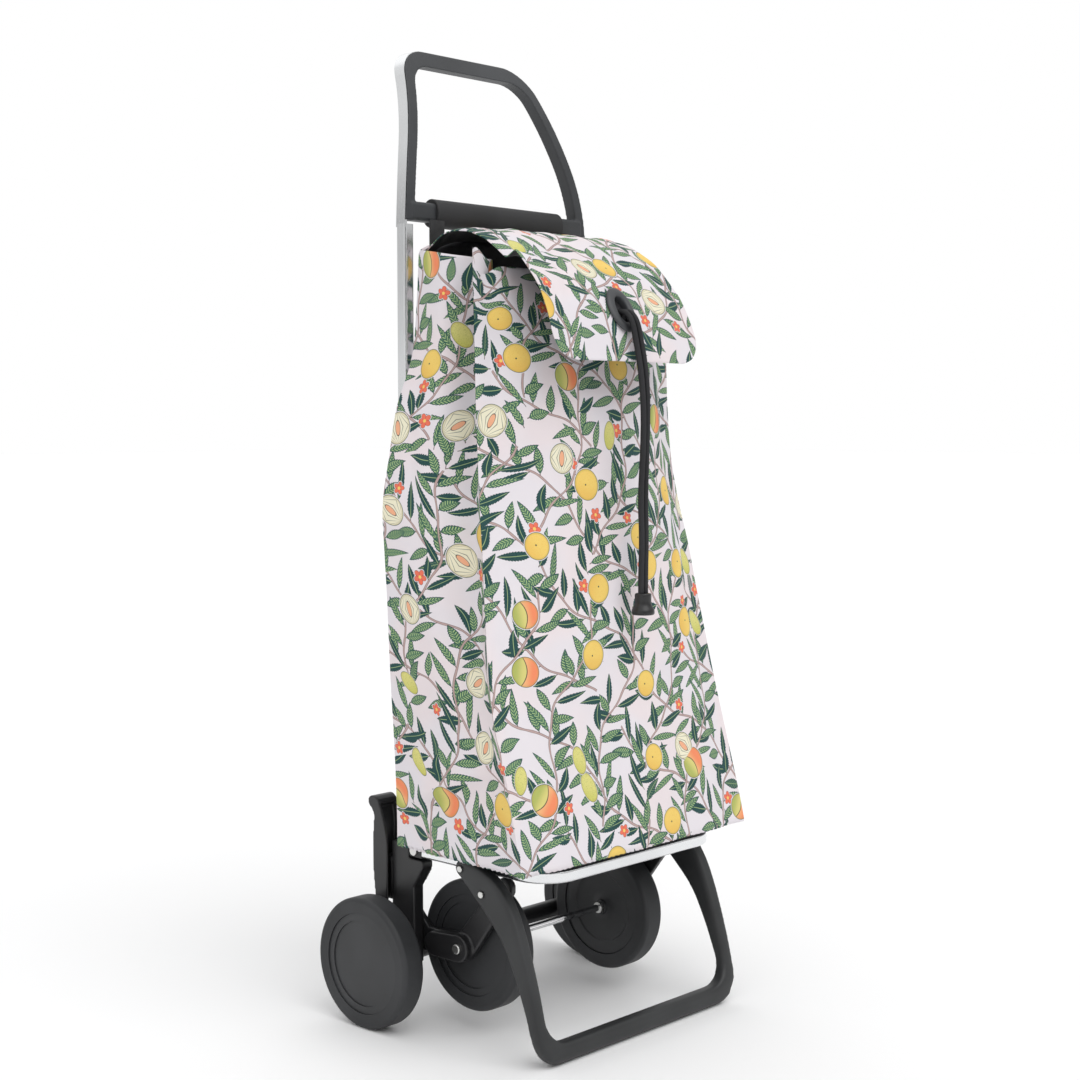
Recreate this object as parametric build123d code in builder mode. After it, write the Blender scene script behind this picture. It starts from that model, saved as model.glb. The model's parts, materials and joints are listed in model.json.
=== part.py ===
from build123d import *
from math import cos, radians, sin, tan
import os

# Folding shopping trolley. X runs across it, -Y is its front, +Z is up and Z = 0 is the ground.
# The origin is on the ground, midway between the foremost and the rearmost point.

# ---------- driving dimensions, mm ----------
wheel_radius = 69
wheel_width = 27.5
tyre_inner_radius = 53
axle_radius = 4
running_gap = 0.05              # radial clearance of a turning fit

rear_axle = (80.5, 69)          # (y, z) of the axle through the frame's feet
front_axle = (-7.3, 90.8)       # (y, z) of the axle in the swinging arms
rear_wheel_inner = 161.0        # |x| of the rear wheels' inner faces
front_wheel_inner = 88.3        # |x| of the front wheels' inner faces

tube_x = 132                    # |x| of both frames' side tubes
tube_y = 67
tube_width = 13                 # along x
tube_depth = 14                 # along y
tube_wall = 1.5
tube_corner = 3
tube_bottom = 64
tube_top = 838                  # where the full tube ends and the lined bow begins

bow_bend_z = 835                # the bow leans back above this height
bow_lean_radius = 355
bow_strip = 3                   # thickness of the metal strip round the outside of the bow
crossbar_z = 852

base_z = 185                    # middle of the base tube
base_tube = 13
base_front_y = -133
base_corner = 33
base_hinge = (52, 185)          # (y, z)
leg_pivot = (-36.6, 184)        # (y, z)
arm_link = (-66.6, 163)         # (y, z) of the open pivot between leg and arm
arm_pivot = (70, 110)           # (y, z)
rivet_head = 3.5
rivet_shank = 2.5
pin_shank = 3.5                 # radius of the arm pins where they are held

leg_outer = 157                 # |x| of the leg's outer face
leg_inner = 141
leg_bar_height = 22
leg_blank_top = 230
leg_blank_drop = 2

foot_outer = 139.2              # |x| of the foot moulding's two side faces
foot_inner = 124.8

flap_half_width = 112
flap_thickness = 2.5
eyelet_centre = (-113.3, 747.3)  # (y, z) on the flap's outer surface
eyelet_slope = 27.0             # degrees the flap leans back from upright at the eyelet
eyelet_size = (38, 52)
eyelet_hole = (18, 30)
cord_diameter = 6
bell_top = 458

os.makedirs("parts", exist_ok=True)


def save(piece, label):
    piece.part.label = label
    export_step(piece.part, f"parts/{label}.step")
    print(f"{label:26s} {len(piece.part.solids()):2d} solids {piece.part.volume:12.1f} mm3")


def both_sides(left, name):
    """Export a piece made at negative x, and its mirror image."""
    with BuildPart() as right:
        mirror(left.part, about=Plane.YZ)
    save(left, f"{name}_left")
    save(right, f"{name}_right")


def pair(left, label):
    """Export a piece made at negative x and its mirror image as one node."""
    with BuildPart() as two:
        add(left.part)
        mirror(left.part, about=Plane.YZ)
    save(two, label)


def x_plane(x):
    """Sketch plane across the trolley: its own x is the trolley's y, its own y is z."""
    return Plane(origin=(x, 0, 0), x_dir=(0, 1, 0), z_dir=(1, 0, 0))


def rod(place, x_from, x_to, radius):
    """Solid round bar along x at (y, z)."""
    with BuildPart() as bar:
        with BuildSketch(x_plane(x_from)):
            with Locations(place):
                Circle(radius)
        extrude(amount=x_to - x_from)
    return bar


# ---------- rear frame: one bent aluminium tube ----------

bow_start = 802
knee_z = 872.4                  # where the bow's sides start to slant inwards
side_slant = 16.45              # degrees, seen from the front
bow_middle_z = 1022.1           # middle of the top bar
bow_top_half = 9.2              # half of the top bar's height


def bow_region(outwards, up, knee_radius, corner_radius):
    """Everything inside an outline of the bow seen from the front, as a solid running from front to back.

    outwards is the outline's distance from the middle of the side tubes, up that from the middle of the top bar.
    """
    edge_x = tube_x + outwards
    turn_z = knee_z + outwards * tan(radians(side_slant / 2))
    top_z = bow_middle_z + up
    corner_x = edge_x - (top_z - turn_z) * tan(radians(side_slant))
    with BuildPart() as region:
        with BuildSketch(Plane(origin=(0, 200, 0), x_dir=(1, 0, 0), z_dir=(0, -1, 0))):
            with BuildLine():
                outline = FilletPolyline(
                    (-edge_x, bow_start),
                    (-edge_x, turn_z),
                    (-corner_x, top_z),
                    (corner_x, top_z),
                    (edge_x, turn_z),
                    (edge_x, bow_start),
                    radius=[knee_radius, corner_radius, corner_radius, knee_radius],
                )
                Line(outline @ 1, outline @ 0)
            make_face()
        extrude(amount=200)
    return region.part


def bow_sheet(y_from, y_to):
    """Sheet that leans back above bow_bend_z, between two distances from the middle of the tube."""
    centre_y = tube_y + bow_lean_radius
    front_radius = bow_lean_radius - y_from
    back_radius = bow_lean_radius - y_to
    with BuildPart() as sheet:
        with BuildSketch(x_plane(-200)):
            with BuildLine():
                front = CenterArc((centre_y, bow_bend_z), front_radius, 180, -45)
                back = CenterArc((centre_y, bow_bend_z), back_radius, 180, -45)
                Line(front @ 1, back @ 1)
                Line(front @ 0, back @ 0)
            make_face()
        extrude(amount=400)
    return sheet.part


bow_strip_top = 3.4
flange_depth = 1.3
grip_gap = 0.15
grip_proud = 0.8
flange_back = -tube_depth / 2 - grip_proud + flange_depth
strip_outside = bow_region(tube_width / 2 - 0.05, bow_top_half, 356, 44)
strip_inside = bow_region(tube_width / 2 - bow_strip, bow_top_half - bow_strip_top, 353, 41)
strip = (strip_outside - strip_inside) & bow_sheet(flange_back + grip_gap, tube_depth / 2)
with BuildPart() as rear_frame_tube:
    with BuildSketch(Plane.XY.offset(tube_bottom)):
        with Locations((-tube_x, tube_y), (tube_x, tube_y)):
            RectangleRounded(tube_width, tube_depth, tube_corner)
            RectangleRounded(
                tube_width - 2 * tube_wall,
                tube_depth - 2 * tube_wall,
                tube_corner - tube_wall,
                mode=Mode.SUBTRACT,
            )
    extrude(amount=tube_top - tube_bottom)
    add(strip)
    with BuildSketch(x_plane(-tube_x - 10)):
        with Locations(arm_pivot):
            Circle(pin_shank)
    extrude(amount=2 * tube_x + 20, mode=Mode.SUBTRACT)
save(rear_frame_tube, "rear_frame_tube")

# ---------- handle: grip moulding that lines the bow, with its crossbar ----------

grip_outside = bow_region(
    tube_width / 2 - bow_strip - grip_gap,
    bow_top_half - bow_strip_top - grip_gap,
    352.85,
    40.85,
)
grip_inside = bow_region(-tube_width / 2, -bow_top_half, 344, 31)
liner = (grip_outside - grip_inside) & bow_sheet(-tube_depth / 2 - grip_proud, tube_depth / 2)
flange = (strip_outside - grip_inside) & bow_sheet(-tube_depth / 2 - grip_proud, flange_back)
crossbar_height = 20
crossbar_depth = 17
crossbar_bottom = crossbar_z - crossbar_height / 2
with BuildPart() as handle_grip:
    add(liner)
    add(flange)
    with BuildSketch(Plane.XY.offset(tube_top - 60)):
        Rectangle(4 * tube_x, 400)
    extrude(amount=crossbar_bottom - tube_top + 60, mode=Mode.SUBTRACT)
    with BuildSketch(x_plane(-tube_x + 3)):
        with Locations((tube_y, crossbar_z)):
            RectangleRounded(crossbar_depth, crossbar_height, 4)
    extrude(amount=2 * tube_x - 6)
save(handle_grip, "handle_grip")

sleeve_half_length = 96
sleeve_depth = 26
sleeve_height = 30
with BuildPart() as crossbar_sleeve:
    with BuildSketch(x_plane(-sleeve_half_length)):
        with Locations((tube_y, crossbar_z)):
            Ellipse(sleeve_depth / 2, sleeve_height / 2)
            RectangleRounded(crossbar_depth + 0.4, crossbar_height + 0.4, 4.2, mode=Mode.SUBTRACT)
    extrude(amount=2 * sleeve_half_length)
    sleeve_ends = crossbar_sleeve.edges().filter_by(GeomType.ELLIPSE)
    fillet(sleeve_ends, radius=1.2)
save(crossbar_sleeve, "crossbar_sleeve")

strap_x = 103
strap_width = 20
strap_thickness = 2
strap_y = 56.2
strap_bottom = 796
with BuildPart() as strap:
    with BuildSketch(Plane.XY.offset(strap_bottom)):
        with Locations((-strap_x + 6, strap_y)):
            Rectangle(strap_width, strap_thickness)
    extrude(amount=crossbar_z - 8 - strap_bottom)
    with BuildSketch(x_plane(-strap_x - 10)):
        with Locations((tube_y, crossbar_z)):
            Ellipse(sleeve_depth / 2 + 0.05, sleeve_height / 2 + 0.05)
    extrude(amount=40, mode=Mode.SUBTRACT)
pair(strap, "bag_hanger_straps")

# ---------- feet of the rear frame, rear axle and kerb skids ----------

foot_front = 52
foot_back = 86
foot_top = 176
foot_post_top = 191.5
foot_post_front = 59.4
foot_bottom = 57
gusset_front = 38
hinge_ear = (-foot_inner + 0.2, -121.2)
with BuildPart() as foot:
    with BuildSketch(x_plane(-foot_outer)):
        with BuildLine():
            Polyline(
                (foot_front, foot_bottom + 8),
                (foot_front, 146),
                (gusset_front, 168),
                (gusset_front, foot_top),
                (foot_post_front, foot_top),
                (foot_post_front, foot_post_top),
                (foot_back, foot_post_top),
                (foot_back, 92),
                (rear_axle[0] + 13, rear_axle[1] + 8),
                (rear_axle[0] + 13, rear_axle[1] - 6),
                (rear_axle[0] + 4, foot_bottom),
                (foot_front + 8, foot_bottom),
                close=True,
            )
        make_face()
    extrude(amount=foot_outer - foot_inner)
    fillet(foot.edges().filter_by(Axis.X), radius=2.5)
    with BuildSketch(x_plane(hinge_ear[0])):
        with Locations(base_hinge):
            Circle(8.8)
        with BuildLine():
            Polyline((43.2, 185), (43.2, 163), (52, 150), (60.8, 150), (60.8, 185), close=True)
        make_face()
    extrude(amount=hinge_ear[1] - hinge_ear[0])
    with BuildSketch(x_plane(-foot_inner - 1)):
        with BuildLine():
            Polyline((44, 173), (44, 164), (53, 151), (60, 151), (60, 173), close=True)
        make_face()
    extrude(amount=1.5)
    with BuildSketch(Plane.XY.offset(tube_bottom - 1)):
        with Locations((-tube_x, tube_y)):
            RectangleRounded(tube_width + 0.2, tube_depth + 0.2, tube_corner + 0.1)
    extrude(amount=200, mode=Mode.SUBTRACT)
    with BuildSketch(x_plane(-foot_outer - 1)):
        with Locations(rear_axle):
            Circle(axle_radius + running_gap)
        with Locations(arm_pivot):
            Circle(pin_shank)
    extrude(amount=30, mode=Mode.SUBTRACT)
    with BuildSketch(x_plane(-foot_outer - 1)):
        with Locations(base_hinge):
            Circle(3)
    extrude(amount=30, mode=Mode.SUBTRACT)
both_sides(foot, "foot_moulding")

skid_outer = 146
skid_inner = 118.4
skid_wall = 3
skid_bottom = 126
with BuildPart() as skid:
    with BuildSketch(x_plane(-skid_outer)):
        with BuildLine():
            skid_rear = Spline(
                (104.5, skid_bottom),
                (107.5, 150),
                (108.8, 172),
                (108.2, 195),
                (106.8, 213),
            )
            skid_lip = Spline(
                skid_rear @ 1,
                (109, 221),
                (114, 226),
                (116, 230.5),
                (113, 235.5),
                (107, 236.5),
                (101, 233),
                tangents=[(-0.1, 1), (-1, -0.8)],
            )
            skid_front = Spline(skid_lip @ 1, (92, 212), (foot_back + 0.1, 186))
            Line(skid_front @ 1, (foot_back + 0.1, skid_bottom))
            Line((foot_back + 0.1, skid_bottom), skid_rear @ 0)
        make_face()
    extrude(amount=skid_outer - skid_inner)
    with BuildSketch(x_plane(-skid_outer + skid_wall)):
        with BuildLine():
            pocket_rear = Spline((99.5, skid_bottom - 5), (103.8, 172), (101.8, 213), (104, 224))
            Line(pocket_rear @ 1, (80, 250))
            Line((80, 250), (80, skid_bottom - 5))
            Line((80, skid_bottom - 5), pocket_rear @ 0)
        make_face()
    extrude(amount=skid_outer - skid_inner - 2 * skid_wall, mode=Mode.SUBTRACT)
    with BuildSketch(x_plane(-foot_outer + 0.8)):
        with Locations(((foot_back + 99.5) / 2 + 0.5, 150)):
            Rectangle(99.5 - foot_back, 46)
    extrude(amount=foot_outer - foot_inner - 1.6)
both_sides(skid, "kerb_skid")

save(rod(rear_axle, -178, 178, axle_radius), "rear_axle")

axle_tube_radius = 11
with BuildPart() as rear_axle_tube:
    with BuildSketch(x_plane(-foot_inner + 0.1)):
        with Locations(rear_axle):
            Circle(axle_tube_radius)
            Circle(axle_radius + 0.3, mode=Mode.SUBTRACT)
    extrude(amount=2 * foot_inner - 0.2)
save(rear_axle_tube, "rear_axle_tube")


def bush(place, x_from, x_to, outer, inner):
    """Plain ring along x, at negative x."""
    with BuildPart() as ring:
        with BuildSketch(x_plane(x_from)):
            with Locations(place):
                Circle(outer)
                Circle(inner, mode=Mode.SUBTRACT)
        extrude(amount=x_to - x_from)
    return ring


spacer_bore = axle_radius + 0.1
pair(bush(rear_axle, -rear_wheel_inner + 0.3, -foot_outer - 0.1, 8, spacer_bore), "rear_axle_spacers")
pair(bush(rear_axle, -177, -174.2, 7, axle_radius), "rear_axle_push_nuts")

# ---------- wheels ----------

cap_face = wheel_width - 3.2    # distance of the cap's face from the wheel's inner face
rim_inner = 48
hub_radius = 12


def wheel(name, place, inner_x, axle_runs_through):
    """One wheel at negative x as tyre, centre and cap, and its mirror image."""
    axis_plane = Plane(origin=(-inner_x, place[0], place[1]), x_dir=(0, 0, 1), z_dir=(0, -1, 0))
    axis = Axis((-inner_x, place[0], place[1]), (-1, 0, 0))

    # In these sketches x is the radius and y is the distance outwards from the inner face.
    with BuildPart() as tyre:
        with BuildSketch(axis_plane):
            with BuildLine():
                Polyline(
                    (tyre_inner_radius, 0.6),
                    (wheel_radius - 5, 0),
                )
                ThreePointArc(
                    (wheel_radius - 5, 0),
                    (wheel_radius - 1.4, 1.6),
                    (wheel_radius, 5),
                )
                Line((wheel_radius, 5), (wheel_radius, wheel_width - 5))
                ThreePointArc(
                    (wheel_radius, wheel_width - 5),
                    (wheel_radius - 1.4, wheel_width - 1.6),
                    (wheel_radius - 5, wheel_width),
                )
                Line((wheel_radius - 5, wheel_width), (tyre_inner_radius, wheel_width - 0.6))
                Line((tyre_inner_radius, wheel_width - 0.6), (tyre_inner_radius, 0.6))
            make_face()
        revolve(axis=axis)

    # The front hub is long enough to touch the arm; the rear one ends short of the push nut.
    rim_outer = tyre_inner_radius - 0.02
    rim_start = 2
    rim_end = cap_face - 2
    web_start = 8
    bore = axle_radius + running_gap
    hub_end = 28.9 if axle_runs_through else 12.8
    with BuildPart() as centre:
        with BuildSketch(axis_plane):
            with Locations(((rim_outer + rim_inner) / 2, (rim_start + rim_end) / 2)):
                Rectangle(rim_outer - rim_inner, rim_end - rim_start)
            with Locations(((bore + rim_inner) / 2 + 1, web_start + 2.4)):
                Rectangle(rim_inner - bore, 4.8)
            with Locations(((bore + hub_radius) / 2, (0.2 + hub_end) / 2)):
                Rectangle(hub_radius - bore, hub_end - 0.2)
        revolve(axis=axis)

    cap_outer = rim_outer - 0.1
    hole = hub_radius + 0.2 if axle_runs_through else 0
    with BuildPart() as cap:
        with BuildSketch(axis_plane):
            with Locations(((hole + cap_outer) / 2, cap_face - 0.9)):
                Rectangle(cap_outer - hole, 1.8)
            with Locations((49, cap_face + 0.5)):
                Rectangle(7.8, 1.4)
        revolve(axis=axis)

    pieces = ((tyre, "tyre"), (centre, "wheel_centre"), (cap, "wheel_cap"))
    for piece, kind in pieces:
        both_sides(piece, f"{name}_{kind}")


wheel("rear", rear_axle, rear_wheel_inner, False)
wheel("front", front_axle, front_wheel_inner, True)

# ---------- swinging arms with the front axle ----------

arm_lane = (-124.5, -117.6)     # x range of the thin arm plate
arm_face = -133.5               # outer face of the arm's thick part
arm_knee = (50, 88)
link_pin_hole = 3.5


def band(start, end, start_radius, end_radius):
    """Outline round two circles, as a private sketch in the current plane."""
    with BuildSketch(Plane.XY, mode=Mode.PRIVATE) as outline:
        with Locations(start):
            Circle(start_radius)
        with Locations(end):
            Circle(end_radius)
        make_hull()
    return outline.sketch


with BuildPart() as arm:
    with BuildSketch(x_plane(arm_lane[0])):
        add(band(arm_pivot, arm_knee, 12, 13))
        add(band(arm_knee, front_axle, 13, 14.5))
        add(band(front_axle, arm_link, 14.5, 11))
    extrude(amount=arm_lane[1] - arm_lane[0])
    with BuildSketch(x_plane(arm_face)):
        add(band((30, 89), front_axle, 12.5, 14))
    extrude(amount=arm_lane[0] - arm_face + 0.5)
    with BuildSketch(x_plane(arm_face - 1)):
        with Locations(front_axle):
            Circle(axle_radius)
        with Locations(arm_pivot):
            Circle(axle_radius + running_gap)
        with Locations(arm_link):
            Circle(link_pin_hole)
    extrude(amount=30, mode=Mode.SUBTRACT)
both_sides(arm, "wheel_arm")

save(rod(front_axle, -132.5, 132.5, axle_radius), "front_axle")

front_bolt = 5.2
with BuildPart() as axle_bolt:
    with BuildSketch(x_plane(arm_face)):
        with Locations(front_axle):
            Circle(front_bolt)
    extrude(amount=-2.4)
    bolt_rim = axle_bolt.edges().sort_by(Axis.X)[0]
    fillet(bolt_rim, radius=1.2)
pair(axle_bolt, "front_axle_bolts")
front_collar_end = -front_wheel_inner + 0.4
pair(bush(front_axle, front_collar_end, front_collar_end + 3, 6, axle_radius), "front_axle_collars")

# The arm's pin is held in the foot and turns in the arm.
with BuildPart() as arm_pin:
    with BuildSketch(x_plane(-foot_outer + 3)):
        with Locations(arm_pivot):
            Circle(pin_shank)
    extrude(amount=foot_outer - 3 - foot_inner)
    with BuildSketch(x_plane(-foot_inner)):
        with Locations(arm_pivot):
            Circle(axle_radius)
    extrude(amount=foot_inner + arm_lane[1] + 0.2)
    with BuildSketch(x_plane(arm_lane[1] + 0.2)):
        with Locations(arm_pivot):
            Circle(7)
    extrude(amount=1.6)
pair(arm_pin, "arm_pivot_pins")

# ---------- base frame ----------

base_rear_y = 40
with BuildPart() as base_frame_tube:
    with BuildLine() as base_path:
        FilletPolyline(
            (-tube_x, base_rear_y, base_z),
            (-tube_x, base_front_y, base_z),
            (tube_x, base_front_y, base_z),
            (tube_x, base_rear_y, base_z),
            radius=base_corner,
        )
    with BuildSketch(Plane(origin=(-tube_x, base_rear_y, base_z), x_dir=(1, 0, 0), z_dir=(0, -1, 0))):
        RectangleRounded(base_tube, base_tube, tube_corner)
        RectangleRounded(
            base_tube - 2 * tube_wall,
            base_tube - 2 * tube_wall,
            tube_corner - tube_wall,
            mode=Mode.SUBTRACT,
        )
    sweep(path=base_path.wires()[0])
    with BuildSketch(x_plane(-tube_x - 10)):
        with Locations(leg_pivot):
            Circle(rivet_shank)
    extrude(amount=2 * tube_x + 20, mode=Mode.SUBTRACT)
save(base_frame_tube, "base_frame_tube")

with BuildPart() as knuckle:
    with BuildSketch(x_plane(-tube_x - base_tube / 2)):
        with Locations(base_hinge):
            Circle(base_tube / 2)
        with Locations(((base_hinge[0] + base_rear_y + 0.1) / 2, base_z)):
            Rectangle(base_hinge[0] - base_rear_y - 0.1, base_tube)
    extrude(amount=base_tube)
    with BuildSketch(Plane(origin=(-tube_x, base_rear_y + 0.1, base_z), x_dir=(1, 0, 0), z_dir=(0, -1, 0))):
        Rectangle(base_tube - 2 * tube_wall - 0.2, base_tube - 2 * tube_wall - 3)
    extrude(amount=14)
    with BuildSketch(x_plane(-tube_x - 10)):
        with Locations(base_hinge):
            Circle(3 + running_gap)
    extrude(amount=20, mode=Mode.SUBTRACT)
pair(knuckle, "base_hinge_knuckles")

# The pin is held in the foot's ear and turns in the knuckle.
with BuildPart() as base_pin:
    with BuildSketch(x_plane(-tube_x - base_tube / 2 - 0.2)):
        with Locations(base_hinge):
            Circle(3)
    extrude(amount=tube_x + base_tube / 2 + 0.2 + hinge_ear[1])
    with BuildSketch(x_plane(-tube_x - base_tube / 2 - 1.6)):
        with Locations(base_hinge):
            Circle(5)
    extrude(amount=1.4)
pair(base_pin, "base_hinge_pins")

board_bottom = 198.0
board_thickness = 3
with BuildPart() as base_board:
    with BuildSketch(Plane.XY.offset(board_bottom)):
        with Locations((0, -60)):
            RectangleRounded(2 * 121, 136, 12)
        with Locations((0, 20)):
            RectangleRounded(2 * 80, 44, 8)
    extrude(amount=board_thickness)
save(base_board, "base_board")

# ---------- front leg: one U-shaped moulding ----------

with BuildPart() as front_leg:
    with BuildSketch(x_plane(-leg_outer)):
        with BuildLine():
            crown = ThreePointArc(
                (leg_pivot[0] + 8.5, leg_pivot[1] - 4.5),
                (leg_pivot[0] + 7, leg_pivot[1] + 6.8),
                (leg_pivot[0] - 1, leg_pivot[1] + 9.8),
            )
            front_edge = Spline(
                crown @ 1,
                (-66, 188),
                (-92, 172),
                (-109, 148),
                (-121, 120),
                (-131, 90),
                (-139.5, 60),
                (-146.5, 32),
                (-149.5, 10),
                tangents=[(-1, 0.05), (-0.05, -1)],
            )
            toe = ThreePointArc(front_edge @ 1, (-147.3, 3), (-142, 0))
            Line(toe @ 1, (-137, 0))
            heel = ThreePointArc((-137, 0), (-133.5, 2), (-132.5, 7))
            rear_edge = Spline(
                heel @ 1,
                (-131, 34),
                (-122.5, 60),
                (-109.5, 90),
                (-91.5, 121),
                (-66, 147),
                (-45, 166),
                crown @ 0,
            )
        make_face()
    extrude(amount=2 * leg_outer)
    # The U shape reaches a little below the ground, so that its corners aren't tangent to the foot.
    with BuildSketch(Plane.XZ.offset(-60)) as u_shape:
        with BuildLine():
            Polyline(
                (-leg_outer, leg_blank_top),
                (-leg_outer, -leg_blank_drop),
                (leg_outer, -leg_blank_drop),
                (leg_outer, leg_blank_top),
                (leg_inner, leg_blank_top),
                (leg_inner, leg_bar_height),
                (-leg_inner, leg_bar_height),
                (-leg_inner, leg_blank_top),
                close=True,
            )
        make_face()
        outer_corners = u_shape.vertices().group_by(Axis.Y)[0]
        fillet(outer_corners, radius=40)
        inner_corners = [v for v in u_shape.vertices() if abs(v.Y - leg_bar_height) < 0.1]
        fillet(inner_corners, radius=26)
    extrude(amount=260, both=True, mode=Mode.INTERSECT)
    with BuildSketch(x_plane(-leg_outer - 5)):
        with Locations(leg_pivot):
            Circle(rivet_shank + running_gap)
        with Locations(arm_link):
            Circle(rivet_shank)
    extrude(amount=2 * leg_outer + 10, mode=Mode.SUBTRACT)
save(front_leg, "front_leg")


def rivet(place, x_to):
    """Rivet at negative x: a domed head outside the leg, and a shank inwards."""
    with BuildPart() as piece:
        with BuildSketch(x_plane(-leg_outer)):
            with Locations(place):
                Circle(rivet_head)
        extrude(amount=-1.6)
        head_rim = piece.edges().sort_by(Axis.X)[0]
        fillet(head_rim, radius=1.1)
        with BuildSketch(x_plane(-leg_outer)):
            with Locations(place):
                Circle(rivet_shank)
        extrude(amount=x_to + leg_outer)
    return piece


pair(rivet(leg_pivot, -tube_x + base_tube / 2 - 0.2), "leg_pivot_rivets")
pair(rivet(arm_link, -leg_inner - 0.1), "arm_link_rivets")

# ---------- bag: an open shell with a black lining ----------

bag_wall = 2.2
# height, rear half width, rear y, front corner half width, front corner y,
# how far the front bulges, how far the side folds in
bag_sections = (
    (195.3, 162, 48, 171, -138, 3, 3),
    (250, 164, 50, 173, -129, 10, 6),
    (350, 167, 52, 172, -102, 22, 10),
    (450, 170, 53, 164, -83, 34, 14),
    (534, 174, 53.5, 156, -70, 42, 18),
    (600, 163, 53.5, 150.6, -58, 44, 20),
    (650, 150, 53.5, 149.4, -54, 40, 22),
    (700, 134, 53.5, 149, -52, 28, 24),
    (806, 127, 52, 149, -44, -6, 28),
)


def bag_outline(section, inset):
    """Closed outline of the bag at one height, moved in by inset."""
    height, rear_half, rear_y, front_half, front_y, bulge, fold = section
    side_y = (rear_y + front_y) / 2
    side_half = (rear_half + front_half) / 2 - fold
    left = [
        (-rear_half + inset, rear_y - inset),
        (-side_half + inset, side_y),
        (-front_half + inset, front_y + inset),
        (-front_half * 0.5, front_y - bulge * 0.75 + inset),
    ]
    right = [(-x, y) for x, y in reversed(left)]
    return left + [(0, front_y - bulge + inset)] + right


def bag_solid(inset, bottom):
    """Closed solid inside the bag's outline, from the given bottom height to the rim."""
    with BuildPart() as solid:
        for section in bag_sections:
            height = max(section[0], bottom)
            with BuildSketch(Plane.XY.offset(height)):
                with BuildLine():
                    Polyline(*bag_outline(section, inset), close=True)
                make_face()
        loft(ruled=True)
    return solid.part


def bag_shell(inset, thickness, bottom):
    """Open shell between two insets, with a floor as thick as its wall."""
    with BuildPart() as shell:
        add(bag_solid(inset, bottom))
        add(bag_solid(inset + thickness, bottom + thickness), mode=Mode.SUBTRACT)
    return shell


bag_bottom = bag_sections[0][0]
lining_gap = 0.1
lining_wall = 0.4
save(bag_shell(0, bag_wall, bag_bottom), "bag_body")
lining_inset = bag_wall + lining_gap
lining = bag_shell(lining_inset, lining_wall, bag_bottom + bag_wall)
save(lining, "bag_lining")

# ---------- flap with its eyelet ----------

# Outer surface in side view, from the hinge line forwards and down: y, z.
flap_outside = [
    (46, 828),
    (22, 833.5),
    (-12, 832),
    (-45, 817),
    (-74, 795),
    (-100, 768.5),
    (-122, 729),
    (-131, 694),
]
flap_curve = Edge.make_spline([Vector(y, z, 0) for y, z in flap_outside])
flap_inside = []
for y, z in flap_outside:
    along = flap_curve.tangent_at(flap_curve.param_at_point(Vector(y, z, 0)))
    flap_inside.append((y - flap_thickness * along.Y, z + flap_thickness * along.X))

with BuildPart() as flap:
    with BuildSketch(x_plane(-flap_half_width)):
        with BuildLine():
            outside = Spline(*flap_outside)
            inside = Spline(*flap_inside)
            Line(outside @ 0, inside @ 0)
            Line(outside @ 1, inside @ 1)
        make_face()
    extrude(amount=2 * flap_half_width)
    with BuildSketch(Plane.XZ.offset(-100)):
        with Locations((0, 773)):
            RectangleRounded(2 * flap_half_width, 160, 26)
        with Locations((0, 813)):
            Rectangle(2 * flap_half_width, 80)
    extrude(amount=300, mode=Mode.INTERSECT)

eyelet_normal = (0, -cos(radians(eyelet_slope)), sin(radians(eyelet_slope)))
eyelet_plane = Plane(
    origin=(0, eyelet_centre[0], eyelet_centre[1]),
    x_dir=(1, 0, 0),
    z_dir=eyelet_normal,
)
neck_wall = 1.5
neck_hole = (eyelet_hole[0] + 2 * neck_wall, eyelet_hole[1] + 2 * neck_wall)
with BuildPart() as bag_flap:
    add(flap.part)
    with BuildSketch(eyelet_plane.offset(-12)):
        Ellipse(neck_hole[0] / 2 + 0.3, neck_hole[1] / 2 + 0.3)
    extrude(amount=24, mode=Mode.SUBTRACT)
save(bag_flap, "bag_flap")


def oval_ring(height_from, height_to, outer, inner):
    """Flat oval ring square to the eyelet's axis, measured from the flap's outer surface."""
    with BuildPart() as ring:
        with BuildSketch(eyelet_plane.offset(height_from)):
            Ellipse(outer[0] / 2, outer[1] / 2)
            Ellipse(inner[0] / 2, inner[1] / 2, mode=Mode.SUBTRACT)
        extrude(amount=height_to - height_from)
    return ring


ring_seat = 1.6                 # the rings stand clear of the curved cloth by about this
ring_back = 5.4
with BuildPart() as eyelet_front:
    add(oval_ring(ring_seat, ring_seat + 2.4, eyelet_size, eyelet_hole).part)
    top_rims = eyelet_front.faces().sort_by(Axis(eyelet_plane.origin, eyelet_normal))[-1]
    fillet(top_rims.edges(), radius=1)
    add(oval_ring(-ring_back, ring_seat, neck_hole, eyelet_hole).part)
save(eyelet_front, "eyelet_front")
eyelet_back = oval_ring(-ring_back - 2, -ring_back - 0.1, eyelet_size, eyelet_hole)
save(eyelet_back, "eyelet_back")

# ---------- drawcord: two strands out of the eyelet into one bell ----------

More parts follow.
